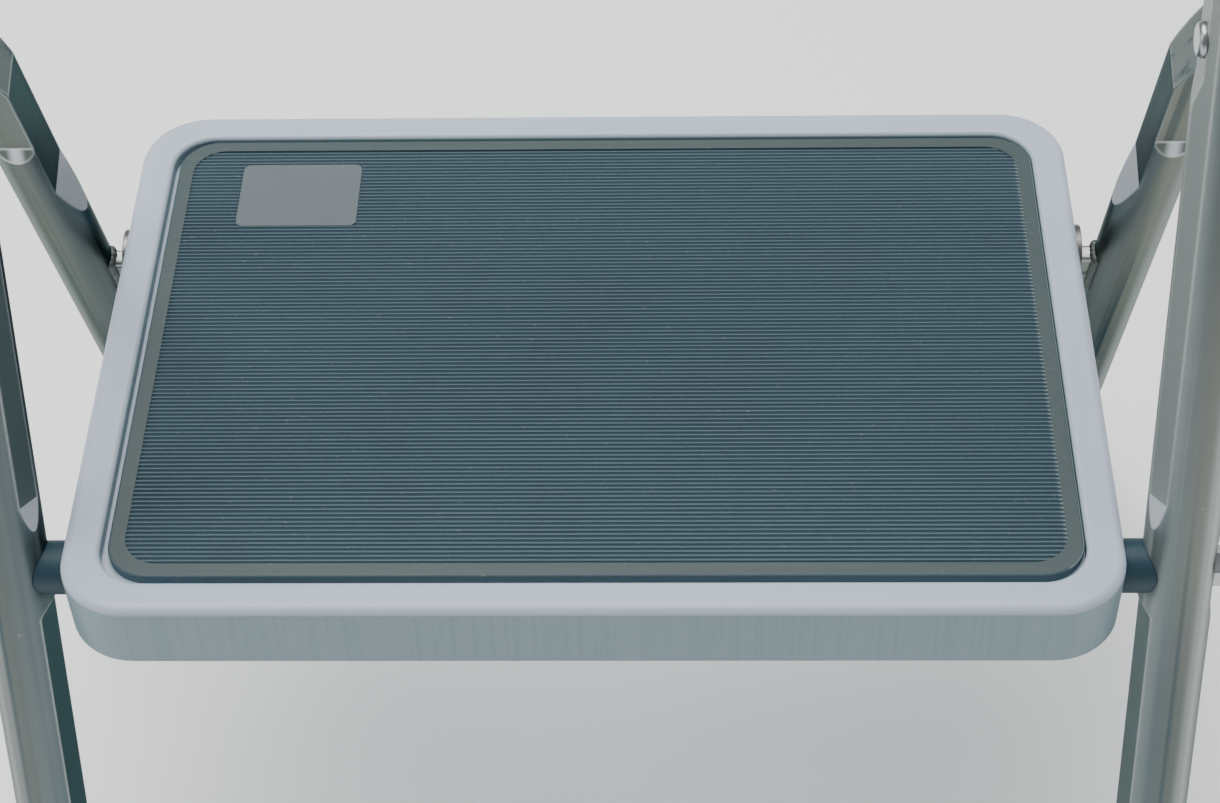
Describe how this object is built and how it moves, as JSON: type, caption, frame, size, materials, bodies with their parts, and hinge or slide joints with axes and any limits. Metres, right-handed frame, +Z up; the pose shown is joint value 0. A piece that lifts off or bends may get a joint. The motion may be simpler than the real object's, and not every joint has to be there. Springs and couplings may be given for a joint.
{
  "type": "folding step stool",
  "caption": "Folding step stool: a ribbed rubber mat in a rounded sheet-metal tray between splayed tube legs, with a hand rail above; rear legs and step fold flat together.",
  "frame": {"origin": "on the floor under the middle of the four feet", "axes": "+Z up, X across the stool, -Y towards the user who steps on"},
  "size_m": [0.4726, 0.3504, 0.6896],
  "materials": {
    "tray_coat": "satin powder coat",
    "tube_metal": "bright mill finish",
    "mat_rubber": "matt, finely ribbed",
    "label_grey": "matt, blank",
    "bush_plastic": "glossy",
    "foot_rubber": "matt",
    "hook_coat": "zinc plated",
    "plate_steel": "plain steel",
    "fastener_steel": "bright zinc"
  },
  "bodies": {
    "front_frame": {"front_left_leg": "tube_metal", "front_right_leg": "tube_metal", "hand_rail": "tube_metal", "left_pivot_bush": "bush_plastic", "right_pivot_bush": "bush_plastic", "front_left_foot": "foot_rubber", "front_right_foot": "foot_rubber", "left_hinge_plate": "plate_steel", "right_hinge_plate": "plate_steel", "rail_rivets": "fastener_steel", "hinge_plate_rivets": "fastener_steel", "left_hinge_pin": "fastener_steel", "right_hinge_pin": "fastener_steel", "left_pivot_bolt": "fastener_steel", "right_pivot_bolt": "fastener_steel", "left_pivot_nut": "fastener_steel", "right_pivot_nut": "fastener_steel"},
    "rear_frame": {"rear_left_leg": "tube_metal", "rear_right_leg": "tube_metal", "step_rest_bar": "tube_metal", "rear_lower_brace": "tube_metal", "rear_left_foot": "foot_rubber", "rear_right_foot": "foot_rubber"},
    "step": {"step_tray": "tray_coat", "tread_mat": "mat_rubber", "label_panel": "label_grey", "left_rest_hook": "hook_coat", "right_rest_hook": "hook_coat", "hook_rivets": "fastener_steel", "left_pivot_plate": "plate_steel", "right_pivot_plate": "plate_steel"}
  },
  "joints": [
    {"name": "rear_fold", "type": "hinge", "parent": "front_frame", "child": "rear_frame", "pos_m": [0, 0.00006, 0.42], "axis": [-1, 0, 0], "range_deg": [0, 36]},
    {"name": "step_tilt", "type": "hinge", "parent": "front_frame", "child": "step", "pos_m": [0, -0.09042, 0.225], "axis": [1, 0, 0], "range_deg": [0, 72]}
  ],
  "couplings": [
    {"joint": "step_tilt", "follows": "rear_fold", "ratio": 2}
  ]
}
